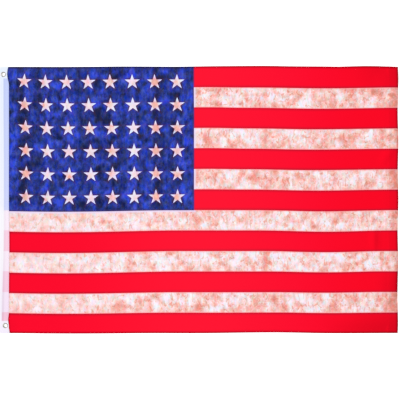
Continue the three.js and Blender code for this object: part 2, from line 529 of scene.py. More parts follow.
# The print's repeats: across, down, half width, half height and strength of each soft patch, in
# millimetres from a repeat's top left corner. Each corner is given on the flag.
inkRepeat = {
    "size": (306.5, 65.0),
    "stagger": 0.0,
    "level": 0.44,
    "contrast": 0.77,
    "spread": 1.4,
    "corner": (-447.2, 451.2),
    "patches": [
        (20, 8, 6, 10, 0.36), (31, 3, 9, 6, 0.4), (13, 29, 5, 12, 0.28), (22, 37, 5, 8, 0.28),
        (26, 47, 7, 9, 0.46), (36, 47, 7, 12, 0.26), (37, 34, 5, 8, 0.2), (39, 23, 5, 5, 0.16),
        (11, 62, 7, 6, 0.5), (32, 63, 8, 5, 0.42), (18, 52, 5, 5, 0.2), (1, 20, 3, 16, 0.18),
        (1, 39, 3, 7, 0.3), (23, 22, 7, 12, 0.2), (67, 34, 9, 6.5, 0.55), (96, 9, 7, 7, 0.52),
        (81, 7, 6, 8, 0.36), (106, 25, 5, 12, 0.46), (104, 34, 5, 7, 0.3), (108, 45, 5, 9, 0.5),
        (112, 57, 6, 11, 0.56), (113, 4, 6, 8, 0.42), (121, 43, 7, 6, 0.42), (125, 60, 8, 7, 0.42),
        (136, 62, 10, 7, 0.46), (135, 2, 9, 6, 0.44), (139, 8, 4, 8, 0.24), (128, 24, 12, 10, 0.3),
        (123, 12, 8, 6, 0.2), (141, 38, 8, 6, 0.54), (134, 33, 5, 4, 0.25), (147, 33, 4, 5, 0.2),
        (149, 12, 5, 9, 0.3), (152, 26, 4, 11, 0.32), (146, 54, 4, 5, 0.24), (98, 42, 5, 10, 0.28),
        (85, 57, 8, 6, 0.12), (74, 52, 4, 8, 0.14), (70, 22, 8, 4, 0.12), (6, 4, 5, 7, -0.28),
        (6, 17, 5, 7, -0.3), (5, 32, 5, 9, -0.34), (12, 46, 10, 6, -0.2), (24, 58, 4, 6, -0.32),
        (47, 5, 9, 8, -0.42), (53, 16, 8, 9, -0.4), (50, 26, 7, 9, -0.42), (47, 35, 6, 7, -0.34),
        (56, 5, 8, 6, -0.24), (47, 57, 9, 7, -0.4), (57, 45, 10, 5, -0.3), (62, 55, 12, 8, -0.24),
        (86, 32, 8, 6, -0.3), (90, 21, 10, 7, -0.24), (83, 46, 5, 5, -0.22), (90, 4, 4, 6, -0.28),
        (94, 55, 6, 7, -0.46), (102, 60, 5, 7, -0.4), (103, 4, 4, 8, -0.24), (116, 18, 4, 8, -0.32),
        (123, 5, 4, 4, -0.26), (141, 26, 6, 6, -0.46), (145, 5, 4, 8, -0.34), (139, 50, 11, 4, -0.4),
        (151, 59, 4, 6, -0.42), (131, 45, 6, 5, -0.14), (98, 18, 8, 6, -0.16), (77, 46, 7, 8, -0.12),
        (31, 27, 4, 8, -0.12), (43, 60, 5, 6, -0.18), (10, 52, 7, 5, -0.14), (122, 34, 6, 5, -0.12),
        (84, 40, 20, 6, -0.06), (156, 8, 5, 12, 0.3), (157, 47, 5, 9, 0.42), (165, 57, 6, 8, 0.3),
        (174.5, 23, 6, 7, 0.3), (178, 17, 5, 5, 0.18), (170, 34, 8, 5, 0.2), (177, 43, 7, 5, 0.36),
        (197, 18, 5, 5, 0.32), (194, 26, 7, 6, 0.4), (189, 37, 5, 8, 0.22), (195, 38, 6, 8, 0.2),
        (210, 3, 5, 7, 0.36), (214, 9, 4, 5, 0.36), (206, 50, 6, 5, 0.36), (217, 27, 8, 8, 0.4),
        (219, 39, 9, 8, 0.56), (229, 37, 6, 5, 0.3), (217, 46, 6, 5, 0.3), (243, 42, 9, 6, 0.42),
        (237, 5, 4, 8, 0.2), (262, 34, 6, 8, 0.42), (265, 10, 10, 6, 0.28), (260, 4, 6, 7, 0.26),
        (262, 61, 8, 6, 0.4), (279, 53, 9, 9, 0.5), (293, 41, 8, 8, 0.5), (291, 5, 4, 11, 0.42),
        (290, 27, 6, 5, 0.32), (304, 10, 6, 12, 0.5), (305, 25, 4, 9, 0.4), (300, 32, 6, 6, 0.44),
        (305, 53, 4, 9, 0.46), (292, 60, 5, 8, 0.36), (286, 49, 7, 8, 0.3), (300, 18, 5, 6, 0.2),
        (188, 7, 8, 7, -0.26), (180, 3, 6, 6, -0.24), (181, 58, 8, 7, -0.26), (181, 30, 4, 8, -0.22),
        (204, 35, 4, 7, -0.22), (222, 12, 7, 7, -0.42), (228, 4, 7, 9, -0.44), (223, 57, 8, 9, -0.72),
        (238, 16, 7, 6, -0.22), (243, 33, 7, 4.5, -0.4), (249, 60, 6, 7, -0.42), (240, 54, 7, 6, -0.18),
        (256, 17, 5, 6, -0.3), (255, 27, 4, 4, -0.3), (257, 49, 5, 9, -0.5), (267, 47, 6, 9, -0.34),
        (269, 16, 6, 5, -0.26), (282, 20, 5, 8, -0.32), (280, 34, 8, 7, -0.36), (298, 3, 4, 6, -0.3),
        (270, 59, 6, 6, -0.2), (230, 29, 6, 7, -0.24), (248, 6, 7, 12, -0.2), (165, 7, 8, 9, -0.18),
        (204, 8, 7, 6, -0.14), (166, 45, 7, 6, -0.14), (212, 36, 4, 6, 0.16), (296, 52, 4, 6, -0.2),
        (276, 4, 6, 8, -0.2), (290, 15, 5, 6, -0.1),
    ],
}
stainRepeat = {
    "size": (306.0, 72.5),
    "stagger": 153.0,
    "level": 0.55,
    "contrast": 0.72,
    "spread": 1.4,
    "corner": (-447.2, 451.2),
    "patches": [
        (4, 18, 7, 4, -0.28), (5, 36, 8, 5, -0.22), (15, 5, 5, 5, -0.2), (24, 1, 7, 3, -0.38),
        (19, 14, 6, 5, -0.25), (29, 15, 3.5, 5, -0.3), (32, 20, 6, 4, -0.5), (39, 26, 6, 4.5, -0.5),
        (27, 34, 4.5, 6, -0.45), (43, 47, 4, 11, -0.45), (16, 67, 8, 4.5, -0.4), (27, 71, 8, 3, -0.4),
        (44, 63, 9, 3.5, -0.3), (52, 66, 4, 5, -0.3), (65, 67, 5, 5, -0.42), (70, 71, 5, 3, -0.35),
        (76, 17, 6, 4, -0.3), (87.5, 23, 3.5, 7, -0.42), (61.5, 35.5, 4, 4, -0.25),
        (83, 36, 4, 8, -0.25), (96, 26, 4, 6, -0.35), (94, 67, 5, 6, -0.42), (109, 16, 4, 6, -0.22),
        (103, 13, 8, 7, -0.14), (125, 13, 6, 6, -0.3), (119, 4, 4, 6, -0.3), (118, 26, 9, 7, -0.55),
        (116, 34, 6, 5, -0.4), (127, 39, 7, 6, -0.5), (112, 39, 15, 8, -0.42), (126, 29, 5, 9, -0.35),
        (103, 40, 7, 5, -0.25), (112, 48, 13, 8, -0.25), (142, 38, 7, 5, -0.4), (135, 35, 7, 7, -0.15),
        (141, 64, 9, 10, -0.66), (131, 54, 7, 5, -0.4), (114, 53, 6, 5, -0.18), (78, 51, 6, 9, -0.2),
        (23, 55, 6, 6, -0.12), (7, 10, 6, 5, -0.12), (66, 5, 5, 5, -0.12), (94, 4, 6, 4, -0.2),
        (74, 57, 5, 4, -0.12), (4, 3, 10, 7, 0.4), (47, 7, 12, 10, 0.4), (49, 20, 6, 13, 0.38),
        (54, 34, 8, 8, 0.3), (35, 43, 6, 13, 0.42), (62, 24, 9, 6, 0.32), (74, 28, 8, 11, 0.42),
        (78, 7, 8, 8, 0.36), (61, 8, 9, 5, 0.25), (93, 13, 4, 8, 0.25), (104, 25, 5, 7, 0.3),
        (83, 65, 10, 8, 0.42), (72, 66, 5, 6, 0.25), (105, 65, 8, 8, 0.28), (115, 65, 6, 7, 0.26),
        (131, 5, 10, 7, 0.22), (143, 17, 6, 6, 0.3), (147, 32, 5, 7, 0.42), (154, 3, 13, 8, 0.4),
        (3, 69, 8, 6, 0.3), (46, 71, 7, 4, 0.3), (58, 53, 10, 6, 0.2), (20, 46, 5, 9, 0.2),
        (130, 67, 6, 5, 0.24), (91, 50, 8, 14, 0.2), (115, 9, 4, 6, 0.15), (12, 50, 6, 9, 0.1),
        (14, 31, 6, 8, 0.2), (89, 40, 7, 7, 0.24), (140, 46, 6, 7, 0.08), (161, 23, 10, 10, -0.72),
        (167, 35, 8, 9, -0.45), (157, 47, 8, 11, -0.46), (184, 49, 12, 14, -0.42),
        (190, 41, 5, 7, -0.2), (186, 26, 5, 5, -0.42), (176, 18, 5, 9, -0.26), (193, 14, 6, 6, -0.5),
        (197, 18, 6, 5, -0.3), (205, 17, 5, 9, -0.32), (204, 8, 5, 5, -0.25), (218, 3, 6, 7, -0.38),
        (211, 8, 5, 5, -0.15), (167, 59, 11, 6, -0.42), (178, 69, 6, 6, -0.25),
        (184, 0, 11, 3.5, -0.42), (211, 29, 6, 6, -0.38), (216, 36, 8, 8, -0.28), (223, 38, 4, 4, -0.2),
        (206, 58, 4, 11, -0.25), (208, 46, 8, 5, -0.16), (232, 63, 8, 8, -0.62), (229, 55, 4, 6, -0.2),
        (234, 16, 5, 6, -0.28), (235, 33, 5, 6, -0.2), (234, 24, 4, 6, -0.15), (250, 3, 6, 8, -0.4),
        (250, 36, 6, 9, -0.42), (249, 48, 5, 5, -0.2), (249, 20, 4, 7, -0.28), (262, 12, 6, 7, -0.26),
        (257, 6, 6, 5, -0.15), (267, 24, 4, 6, -0.46), (265, 30, 4, 4, -0.15), (277, 54, 9, 6, -0.36),
        (270, 70, 9, 4, -0.42), (257, 62, 4, 6, -0.28), (293, 3, 5, 8, -0.46), (300, 12, 9, 6, -0.34),
        (291, 22, 11, 6, -0.4), (292, 40, 8, 15, -0.52), (301, 44, 8, 6, -0.34),
        (299, 33, 10, 9, -0.26), (271, 44, 8, 9, -0.16), (246, 66, 8, 6, -0.12), (160, 69, 10, 5, 0.32),
        (176, 33, 5, 6, 0.2), (181, 8, 11, 6, 0.36), (197, 29, 8, 13, 0.36), (197, 47, 5, 14, 0.32),
        (196, 66, 8, 10, 0.34), (197, 3, 8, 7, 0.26), (218, 17, 12, 9, 0.42), (228, 7, 10, 12, 0.32),
        (222, 26, 8, 6, 0.3), (241, 14, 6, 15, 0.3), (237, 44, 7, 14, 0.42), (214, 50, 6, 8, 0.2),
        (216, 63, 8, 9, 0.24), (256, 28, 8, 7, 0.42), (273, 14, 8, 12, 0.34), (276, 32, 7, 7, 0.4),
        (261, 44, 9, 10, 0.24), (256, 54, 7, 7, 0.22), (268, 63, 8, 7, 0.26), (287, 64, 9, 9, 0.36),
        (303, 66, 6, 10, 0.32), (267, 4, 9, 5, 0.18), (181, 62, 7, 5, -0.12), (302, 24, 4, 5, 0.16),
        (303, 55, 6, 5, 0.14), (205, 37, 5, 5, 0.12), (152, 44, 5, 10, 0.16), (283, 13, 5, 7, 0.14),
    ],
}
starRepeat = {
    "size": (391.2, 51.9),
    "stagger": 0.0,
    "level": 0.5,
    "contrast": 1.0,
    "spread": 1.1,
    "corner": (-413.0, 291.9),
    "patches": [
        (21, 27, 13, 15, -0.5), (34, 28, 6, 10, 0.1), (76, 24, 9, 14, 0.3), (80, 33, 7, 9, 0.25),
        (65, 32, 6, 7, -0.15), (119, 27, 12, 14, 0.15), (174, 23, 11, 10, 0.18), (171, 33, 8, 6, -0.05),
        (216, 24, 9, 13, -0.18), (228, 31, 7, 9, 0.2), (220, 15, 5, 6, -0.2), (266, 25, 11, 17, 0.55),
        (278, 27, 6, 9, -0.15), (319, 26, 13, 15, -0.66), (309, 31, 5, 9, 0.2),
        (363, 29, 11, 13, -0.38), (367, 14, 5, 7, 0.1),
    ],
}


# How strong a repeat's patches are at places on the flat cloth, given as two arrays.
def patchLevel(repeat, x, y):
    wide, high = repeat["size"]
    down = repeat["corner"][1] - y / mm
    across = x / mm - repeat["corner"][0] - (down // high % 2) * repeat["stagger"]
    total = 0 * x
    for u, v, halfWide, halfHigh, strength in repeat["patches"]:
        along = ((across - u + wide / 2) % wide - wide / 2) / halfWide
        aside = ((down - v + high / 2) % high - high / 2) / halfHigh
        far = (along * along + aside * aside) / repeat["spread"] ** 2
        total += strength * np.maximum(1 - far, 0) ** 2
    return repeat["level"] + repeat["contrast"] * total


cloth = {
    "cell": 4.1 * mm,
    "thickness": 0.2 * mm,
    "layerStep": 0.26 * mm,
    "cornerBulk": 3.0,  # how much further apart the fly hem's layers lie over the long hems
    "longHem": 9 * mm,
    "flyHem": 21 * mm,
    "turnIn": 8 * mm,
    "topLap": 12 * mm,
    "bottomLap": 16.6 * mm,
    "hemSlope": 2.5 * mm,
    "cornerSlope": 12 * mm,
    "settle": 24 * mm,
    "thread": 0.42 * mm,
    "seamShade": 0.08,
    "seamShadeReach": 5 * mm,
    "seamCell": 1.1 * mm,
    "seamCells": 5,  # on each side of the tape's edge
    "weaveBump": (0.25, 0.05 * mm),
}
flyWaver = {
    "height": 0.7 * mm,
    "wave": 132 * mm,
    "crest": 262 * mm,
    "lean": 0.6 * mm,
    "length": 60 * mm,
}


# A double-turned hem: under the edge, back inwards, then out again between the two layers.
# Gives how far out and down the cloth lies, and the angle it has turned through.
def turnUnder(past, hem, step):
    wide, tight = pi * step, pi * step / 2
    if past <= 0:
        return past, 0.0, 0.0
    if past < wide:
        turn = past / step
        return step * sin(turn), step * (1 - cos(turn)), turn
    if past < wide + hem:
        return wide - past, 2 * step, pi
    if past < wide + hem + tight:
        turn = pi + (past - wide - hem) / (step / 2)
        return -hem + step / 2 * sin(turn), 1.5 * step - step / 2 * cos(turn), turn
    return past - wide - tight - 2 * hem, step, tau


def nearHem(fromEdge, hem, slope):
    return smoothStep((hem + slope - fromEdge) / slope)


def flyStep(y):
    bulk = nearHem(halfHeight - abs(y), cloth["longHem"], cloth["cornerSlope"])
    return cloth["layerStep"] * (1 + cloth["cornerBulk"] * bulk)


def faceHeight(x, y):
    onLong = nearHem(halfHeight - abs(y), cloth["longHem"] + 1.5 * cloth["layerStep"], cloth["hemSlope"])
    onFly = nearHem(halfLength - x, cloth["flyHem"] + 1.5 * flyStep(y), cloth["hemSlope"])
    height = blendTo(cloth["thickness"], 2 * cloth["layerStep"], onLong)
    height = blendTo(height, 2 * flyStep(y), onFly)
    return height + sum(ridge["lift"] * mm * softPatch(x, y, ridge) for ridge in ridges)


def settled(x):
    return smoothStep((x - bandEdge) / cloth["settle"])


# In the plane: the pulls, and the fly edge's run in and out between its corners.
def pulled(x, y):
    place = Vector((x, y))
    for pull in pulls:
        share = softPatch(x, y, pull) * mm
        place += Vector((pull["shift"][0] * settled(x), pull["shift"][1])) * share
    inAndOut = flyWaver["height"] * (cos(tau * (y - flyWaver["crest"]) / flyWaver["wave"]) - 1)
    leaning = flyWaver["lean"] * smoothStep(-y / halfHeight)
    place.x += (inAndOut - leaning) * smoothStep((x - halfLength) / flyWaver["length"] + 1)
    return place


band = {
    "tape": 0.35 * mm,
    "foldRadius": 1.2 * mm,
    "turnStep": 0.46 * mm,
    "turnedEnd": 26 * mm,
    "footDrop": {"start": -190 * mm, "over": 100 * mm, "drop": 1.5 * mm},
    "cell": 2.0 * mm,
    "seamTop": 1.0 * mm,
    "endBulk": 1.25 * mm,
    "endSlope": 3 * mm,
    "flangeHeight": 0.9 * mm,
    "clearance": 0.06 * mm,
    "pinchInner": 6.4 * mm,
    "pinchOuter": 26 * mm,
    "holeRadius": 4.7 * mm,
    "seamInset": 1.8 * mm,
    "thread": 0.9 * mm,
    "weaveBump": (0.35, 0.12 * mm),
}


# The tape's own white from its foot to its head, and how the print tints it from between the leaves.
bandTones = {
    "plain": [
        (0.00, (241, 233, 248)), (0.30, (247, 244, 250)), (0.45, (247, 246, 252)),
        (0.48, (239, 241, 252)), (1.00, (229, 237, 252)),
    ],
    "canton": (221, 226, 253),
    "white": (255, 243, 250),
    "red": (254, 219, 232),
    "lowRed": (255, 211, 221),
}


def eyeletPlace(end):
    low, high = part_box("eyelet_" + end)
    return (low + high) / 2, high.z


eyelets = {end: eyeletPlace(end) for end in ("top", "bottom")}
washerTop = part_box("washer_top")[1].z


def pinched(x, y):
    shares, outer = [], band["pinchOuter"]
    for centre, _ in eyelets.values():
        apart = (Vector((x, y, 0)) + middle - Vector((centre.x, centre.y, 0))).length
        shares.append(smoothStep((outer - apart) / (outer - band["pinchInner"])))
    return max(shares)


def bandUnderside(x, y):
    return (washerTop + band["clearance"]) * pinched(x, y)


def bandTop(x, y):
    fromFold = (x + halfLength) / bandWidth
    loose = blendTo(2 * band["foldRadius"], band["seamTop"], smoothStep(fromFold * 1.1))
    atEnd = smoothStep((abs(y) - halfHeight + band["turnedEnd"]) / band["endSlope"] + 1)
    loose = max(loose, blendTo(band["seamTop"], band["seamTop"] + band["endBulk"], atEnd))
    under = eyelets["top"][1] - band["flangeHeight"] - band["clearance"]
    return blendTo(loose, under, pinched(x, y))


# The cloth comes out from between the tape's two leaves and settles on to the surface.
def clothHeight(x, y):
    stack = faceHeight(x, y) - 0.5 * cloth["thickness"]
    inBand = (bandUnderside(x, y) + bandTop(x, y) + stack) / 2
    return blendTo(inBand, faceHeight(x, y), settled(x))


# From a place on the flat cut to its place in the laid flag.
def layCloth(x, y):
    step = cloth["layerStep"]
    side = -1 if y < 0 else 1
    out, down, _ = turnUnder(abs(y) - (halfHeight - step), cloth["longHem"], step)
    laidY = side * (halfHeight - step + out)
    wideStep = flyStep(laidY)
    edge = halfLength - wideStep
    alongOut, alongDown, alongTurn = turnUnder(x - edge, cloth["flyHem"], wideStep)
    laidX = edge + alongOut - down * sin(alongTurn)
    depth = alongDown + down * cos(alongTurn)
    place = pulled(laidX, laidY)
    return Vector((place.x, place.y, clothHeight(laidX, laidY) - depth)) + middle


def cutLine(bm, place, direction):
    geometry = [*bm.verts, *bm.edges, *bm.faces]
    bmesh.ops.bisect_plane(bm, geom=geometry, dist=1e-7, plane_co=place, plane_no=direction)


def makeCut(low, high, cell, linesX, linesY):
    bm = bmesh.new()
    size = high - low
    bmesh.ops.create_grid(bm, x_segments=ceil(size.x / cell), y_segments=ceil(size.y / cell), size=0.5)
    bmesh.ops.scale(bm, vec=(size.x, size.y, 1), verts=bm.verts)
    bmesh.ops.translate(bm, vec=((low.x + high.x) / 2, (low.y + high.y) / 2, 0), verts=bm.verts)
    for x in linesX:
        cutLine(bm, (x, 0, 0), (1, 0, 0))
    for y in linesY:
        cutLine(bm, (0, y, 0), (0, 1, 0))
    flat = bm.loops.layers.uv.new("flat")
    for face in bm.faces:
        for loop in face.loops:
            loop[flat].uv = loop.vert.co.xy
    return bm


# The grain that lies over the repeats: each noise's scale, detail and roughness.
grains = {
    "fine": (280.0, 3.0, 0.8),
    "coarse": (95.0, 2.0, 0.5),
    "broad": (30.0, 1.0, 0.5),
    "bend": (84.0, 1.0, 0.5),
    "curl": (95.0, 1.0, 0.5),
    "change": (160.0, 1.0, 0.5),
}
grainShares = {"fine": 0.85, "coarse": 0.95, "broad": 1.6}
strokeWidths = {"streak": 0.045, "side": 0.04, "stroke": 0.06}

# How the repeat, the grain and the strokes add up to the depth of each printed tone.
inking = {
    "middle": 0.55,
    "level": 0.66,
    "contrast": 0.5,
    "strokes": 0.34,
    "grain": 0.42,
    "fromHoist": {"contrast": 0.42, "level": 0.05, "grain": 0.28, "lighter": 0.03},
    "lighterBelow": {"y": -130 * mm, "reach": 180 * mm, "lift": 0.09},
    "star": {"contrast": 1.2, "strokes": 0.3, "grain": 0.95},
    "canton": {"contrast": 1.08, "level": -0.03, "strokes": 0.18, "grain": 0.88},
    "back": 0.22,  # how much paler the print shows on the underside
}


def clothFinish(name, back=False):
    finish = Finish(name)
    place, x, y = finish.layer("flat")
    inputs = {0: place, 1: (1, 0.5, 1)}
    drawnOut = finish.add("ShaderNodeVectorMath", {"operation": "MULTIPLY"}, inputs)  # along the warp
    fine = finish.noise(drawnOut, *grains["fine"]) - 0.5
    coarse = finish.noise(drawnOut, *grains["coarse"]) - 0.5
    broad = finish.noise(place, *grains["broad"]) - 0.5
    bend = finish.noise(drawnOut, *grains["bend"]) - 0.5
    curl = finish.noise(place, *grains["curl"]) - 0.5
    side = strokeWidths["side"]
    streak = (1 - bend.size().ease(0, strokeWidths["streak"])) * curl.ease(-side, side)
    strokes = 1 - curl.size().ease(0, strokeWidths["stroke"]) - streak * 1.5
    grain = fine * grainShares["fine"] + coarse * grainShares["coarse"] + broad * grainShares["broad"]
    change = finish.noise(drawnOut, *grains["change"], output=1)

    inCanton = printPlan(x, y)[0].above(0)
    fromHoist, outward = x.ease(-halfLength * 0.9, 0), inking["fromHoist"]
    contrast = inking["contrast"] + fromHoist * outward["contrast"]
    stain = (finish.value("stain") - inking["middle"]) * contrast
    stain = stain + inking["level"] - fromHoist * outward["level"]
    grainLevel = inking["grain"] + fromHoist * outward["grain"]
    stain = stain + (grain + strokes * inking["strokes"]) * grainLevel
    below = inking["lighterBelow"]
    nearBelow = 1 - (y - below["y"]).size().ease(0, below["reach"])
    stain = stain + nearBelow * (below["lift"] - fromHoist * outward["lighter"])
    onStar, onCanton = inking["star"], inking["canton"]
    starLevel = (finish.value("starLevel") - 0.5) * onStar["contrast"] + 0.5
    starLevel = starLevel + (grain + strokes * onStar["strokes"]) * onStar["grain"]
    stain = stain + (starLevel - stain) * inCanton
    ink = finish.value("ink") * onCanton["contrast"] + onCanton["level"]
    ink = ink + (grain + strokes * onCanton["strokes"]) * onCanton["grain"]

    # Painted shade beside the tape's seam and in the shade patches.
    seam, dim = finish.value("seam"), finish.value("shade")
    colours = printWithPaintedLight(finish, x, y, ink, stain, change, streak, seam, dim)
    if back:
        colours = finish.mix(inking["back"], colours, printTone(tones["paleBack"]))
    normal = finish.bump(weaveHeight(x, y, cloth["thread"]), *cloth["weaveBump"])
    return finish.done(Base_Color=colours, Normal=normal, Roughness=0.85, Specular_IOR_Level=0.02)


# Where the eyelets draw the tape's sewn edge towards the hoist: up the flag, reach and shift.
drawIns = [(284, 25, -3.7), (-102, 100, 0.8), (-270, 16, -1.5), (-300, 12, 1.6)]


def drawnIn(y):
    return sum(
        shift * mm * softPatch(0, y, {"at": (0, up), "reach": (1, reach)})
        for up, reach, shift in drawIns
    )


# Where the cloth lies a little in its own shade.
shades = [
    {"at": (448, 0), "reach": (32, 700), "depth": 0.11},
    {"at": (440, 290), "reach": (110, 60), "depth": 0.12},
    {"at": (455, -195), "reach": (62, 60), "depth": 0.16},
    {"at": (430, -300), "reach": (180, 75), "depth": 0.2},
    {"at": (-400, -80), "reach": (330, 560), "depth": 0.05},
    {"at": (402, -92), "reach": (8, 40), "depth": 0.14},
]


# At the band's two ends the cloth stops just inside the seam, clear of the eyelets.
def besideEyelet(face):
    y = face.calc_center_median().y - middle.y
    seamEdge = bandHigh.x + drawnIn(y) - band["seamInset"] * 0.9
    atEnd = abs(y) > halfHeight - band["turnedEnd"]
    return atEnd and min(vert.co.x for vert in face.verts) < seamEdge


def makeCloth():
    step, corner = cloth["layerStep"], cloth["layerStep"] * (1 + cloth["cornerBulk"])
    longReach = halfHeight - step + 1.5 * pi * step + cloth["longHem"] + cloth["turnIn"]
    flyReach = halfLength - step + 1.5 * pi * step + cloth["flyHem"] + cloth["turnIn"]
    low = Vector((bandEdge - cloth["topLap"], -longReach, 0))
    high = Vector((flyReach, longReach, 0))
    hemLines = [0, 0.8, 1.6, 2.4, 3.2]  # in layer steps, round each fold
    longFold, flyFold = halfHeight - step, halfLength - corner
    inner = longFold + pi * step + cloth["longHem"]
    linesY = [longFold + share * step for share in hemLines]
    linesY += [inner + share * step for share in hemLines[:3]]
    linesY += [halfHeight - cloth["longHem"] - cloth["hemSlope"] * share for share in (0, 0.5, 1)]
    linesX = [flyFold + share * corner for share in (0, 0.4, 0.8, 1, 1.2, 1.6, 2.4, 3.2)]
    linesX += [flyFold + cloth["flyHem"] + corner * share for share in (0.8, 1.6, 2.4, 3.2, 4, 4.8)]
    linesX += [halfLength - cloth["flyHem"] - cloth["hemSlope"] * share for share in (0, 0.5, 1)]
    cells = cloth["seamCells"]
    linesX += [bandEdge + line * cloth["seamCell"] for line in range(-cells, cells + 1)]
    bm = makeCut(low, high, cloth["cell"], linesX, linesY + [-y for y in linesY])

    flat = np.array([vert.co for vert in bm.verts])
    for name, repeat in (("ink", inkRepeat), ("stain", stainRepeat), ("starLevel", starRepeat)):
        layer = bm.verts.layers.float.new(name)
        for vert, level in zip(bm.verts, patchLevel(repeat, flat[:, 0], flat[:, 1])):
            vert[layer] = level
    shade = bm.verts.layers.float.new("shade")
    seam = bm.verts.layers.float.new("seam")
    for vert in bm.verts:
        x, y = vert.co.x, vert.co.y
        vert[shade] = sum(patch["depth"] * softPatch(x, y, patch) for patch in shades)
        # Painted shade: a darker strip on the cloth beside the tape's sewn edge.
        besideTape = (x - bandEdge - drawnIn(y)) / cloth["seamShadeReach"]
        vert[seam] = 1 - smoothStep(besideTape)
        vert[shade] += cloth["seamShade"] * vert[seam]
        hidden = smoothStep((bandEdge - x) / cloth["topLap"])
        lean = (cloth["bottomLap"] - cloth["topLap"]) * (0.5 - y / (2 * halfHeight))
        vert.co = layCloth(x - hidden * lean, y)
    ends = [face for face in bm.faces if besideEyelet(face)]
    bmesh.ops.delete(bm, geom=ends, context="FACES")
    piece = finishMesh(bm, "cloth", [clothFinish("printedCloth"), clothFinish("printedClothBack", True)])
    shell = piece.modifiers.new("thickness", "SOLIDIFY")
    shell.thickness = cloth["thickness"]
    shell.offset = -1
    shell.material_offset = 1
    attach(piece, "root")
    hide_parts("flag_cloth")
    return piece, (high.x - low.x, high.y - low.y)


clothPiece, clothCut = makeCloth()
print("cloth:", len(clothPiece.data.polygons), "faces, cut", [round(size, 4) for size in clothCut])


# From a place on the flat tape, across and along it from its middle, to its place on the flag.
def layTape(across, along):
    side = -1 if along < 0 else 1
    step = band["turnStep"]
    out, depth, _ = turnUnder(abs(along) - (halfHeight - step), 1.0, step)
    y = side * (halfHeight - step + out)
    foot = band["footDrop"]
    y -= foot["drop"] * smoothStep((foot["start"] - y) / foot["over"])
    radius = band["foldRadius"]
    turn = max(-pi / 2, min(pi / 2, across / radius))
    beyond = max(0.0, abs(across) - pi / 2 * radius)
    x = -halfLength + radius * (1 - cos(turn)) + depth * cos(turn) + beyond
    x += drawnIn(y) * (x + halfLength) / bandWidth
    upper = (1 + sin(turn)) / 2
    z = blendTo(bandUnderside(x, y), bandTop(x, y), upper) - depth * sin(turn)
    return Vector((x, y, z)) + middle


# How the cloth inside the tape shows through it, and a painted shade along the cloth's cut edge.
showThroughAndShade = {
    "redFades": 120 * mm,  # up from the foot
    "border": 1 * mm,  # half the width of the print's borders, seen through the tape
    "lapNarrows": (20 * mm, 240 * mm),
    "lapWidens": (80 * mm, 210 * mm, 0.8 * mm),
    "wander": 0.8 * mm,
    "wanderScale": 25.0,
    "pocketEnd": (-1 * mm, 2 * mm),
    "cutEdge": 1.2 * mm,
    "besideSeam": (7 * mm, 0.35),
    "lapShadeSpan": (-1.2 * mm, 0.6 * mm, 2.5 * mm, 6 * mm),  # painted shade along the step where the cloth's cut edge ends under the tape
    "lapShadeDepth": 0.13,
    "lapShadeFades": (200 * mm, 0.09),
}


def bandFinish():
    finish = Finish("headerTape")
    place, across, along = finish.layer("flat")
    spot = finish.add("ShaderNodeTexCoord", {}, {}, 3)
    x, y = finish.part(spot, 0) - middle.x, finish.part(spot, 1) - middle.y
    aboveFoot = y + halfHeight
    plain = finish.ramp(aboveFoot / (2 * halfHeight), printRamp(bandTones["plain"]))
    intoCanton, intoRed = printPlan(bandEdge + x * 0, y)
    border, edge = showThroughAndShade["border"], showThroughAndShade["cutEdge"]
    fading = aboveFoot.ease(0, showThroughAndShade["redFades"])
    red = finish.mix(fading, paint(bandTones["lowRed"]), paint(bandTones["red"]))
    under = finish.mix(intoRed.ease(-border, border), paint(bandTones["white"]), red)
    under = finish.mix(intoCanton.ease(-border, border), under, paint(bandTones["canton"]))

    widenStart, widenEnd, wider = showThroughAndShade["lapWidens"]
    narrowing = aboveFoot.ease(*showThroughAndShade["lapNarrows"])
    lap = cloth["bottomLap"] - narrowing * (cloth["bottomLap"] - cloth["topLap"])
    lap = lap + y.ease(widenStart, widenEnd) * wider - wider
    wander = finish.noise(place, showThroughAndShade["wanderScale"]) - 0.5
    fromCut = x - bandEdge + lap + wander * showThroughAndShade["wander"]
    fromEnd = halfHeight - band["turnedEnd"] - y.size()
    tinted = fromCut.ease(-edge, edge) * fromEnd.ease(*showThroughAndShade["pocketEnd"])
    whole = finish.mix(tinted, plain, finish.mix(1.0, plain, under, "MULTIPLY"))
    seamReach, seamShare = showThroughAndShade["besideSeam"]
    besideSeam = (x - bandEdge).ease(-seamReach, 0) * tinted
    whole = finish.mix(besideSeam * seamShare, whole, finish.mix(1.0, whole, under, "MULTIPLY"))

    # Painted shade: a grey darker strip along the step where the cloth's cut edge ends under the tape,
    # less up from the foot.
    comes, full, goes, gone = showThroughAndShade["lapShadeSpan"]
    lapEdgeShade = fromCut.ease(comes, full) * (1 - fromCut.ease(goes, gone)) * fromEnd.above(0)
    fadesOver, fade = showThroughAndShade["lapShadeFades"]
    depth = showThroughAndShade["lapShadeDepth"] - aboveFoot.ease(0, fadesOver) * fade
    whole = finish.mix(1.0, whole, greyTone(finish, 1 - lapEdgeShade * depth), "MULTIPLY")
    height = weaveHeight(across + along * 0.5, along, band["thread"])
    normal = finish.bump(height, *band["weaveBump"])
    return finish.done(Base_Color=whole, Normal=normal, Roughness=0.9, Specular_IOR_Level=0.02)


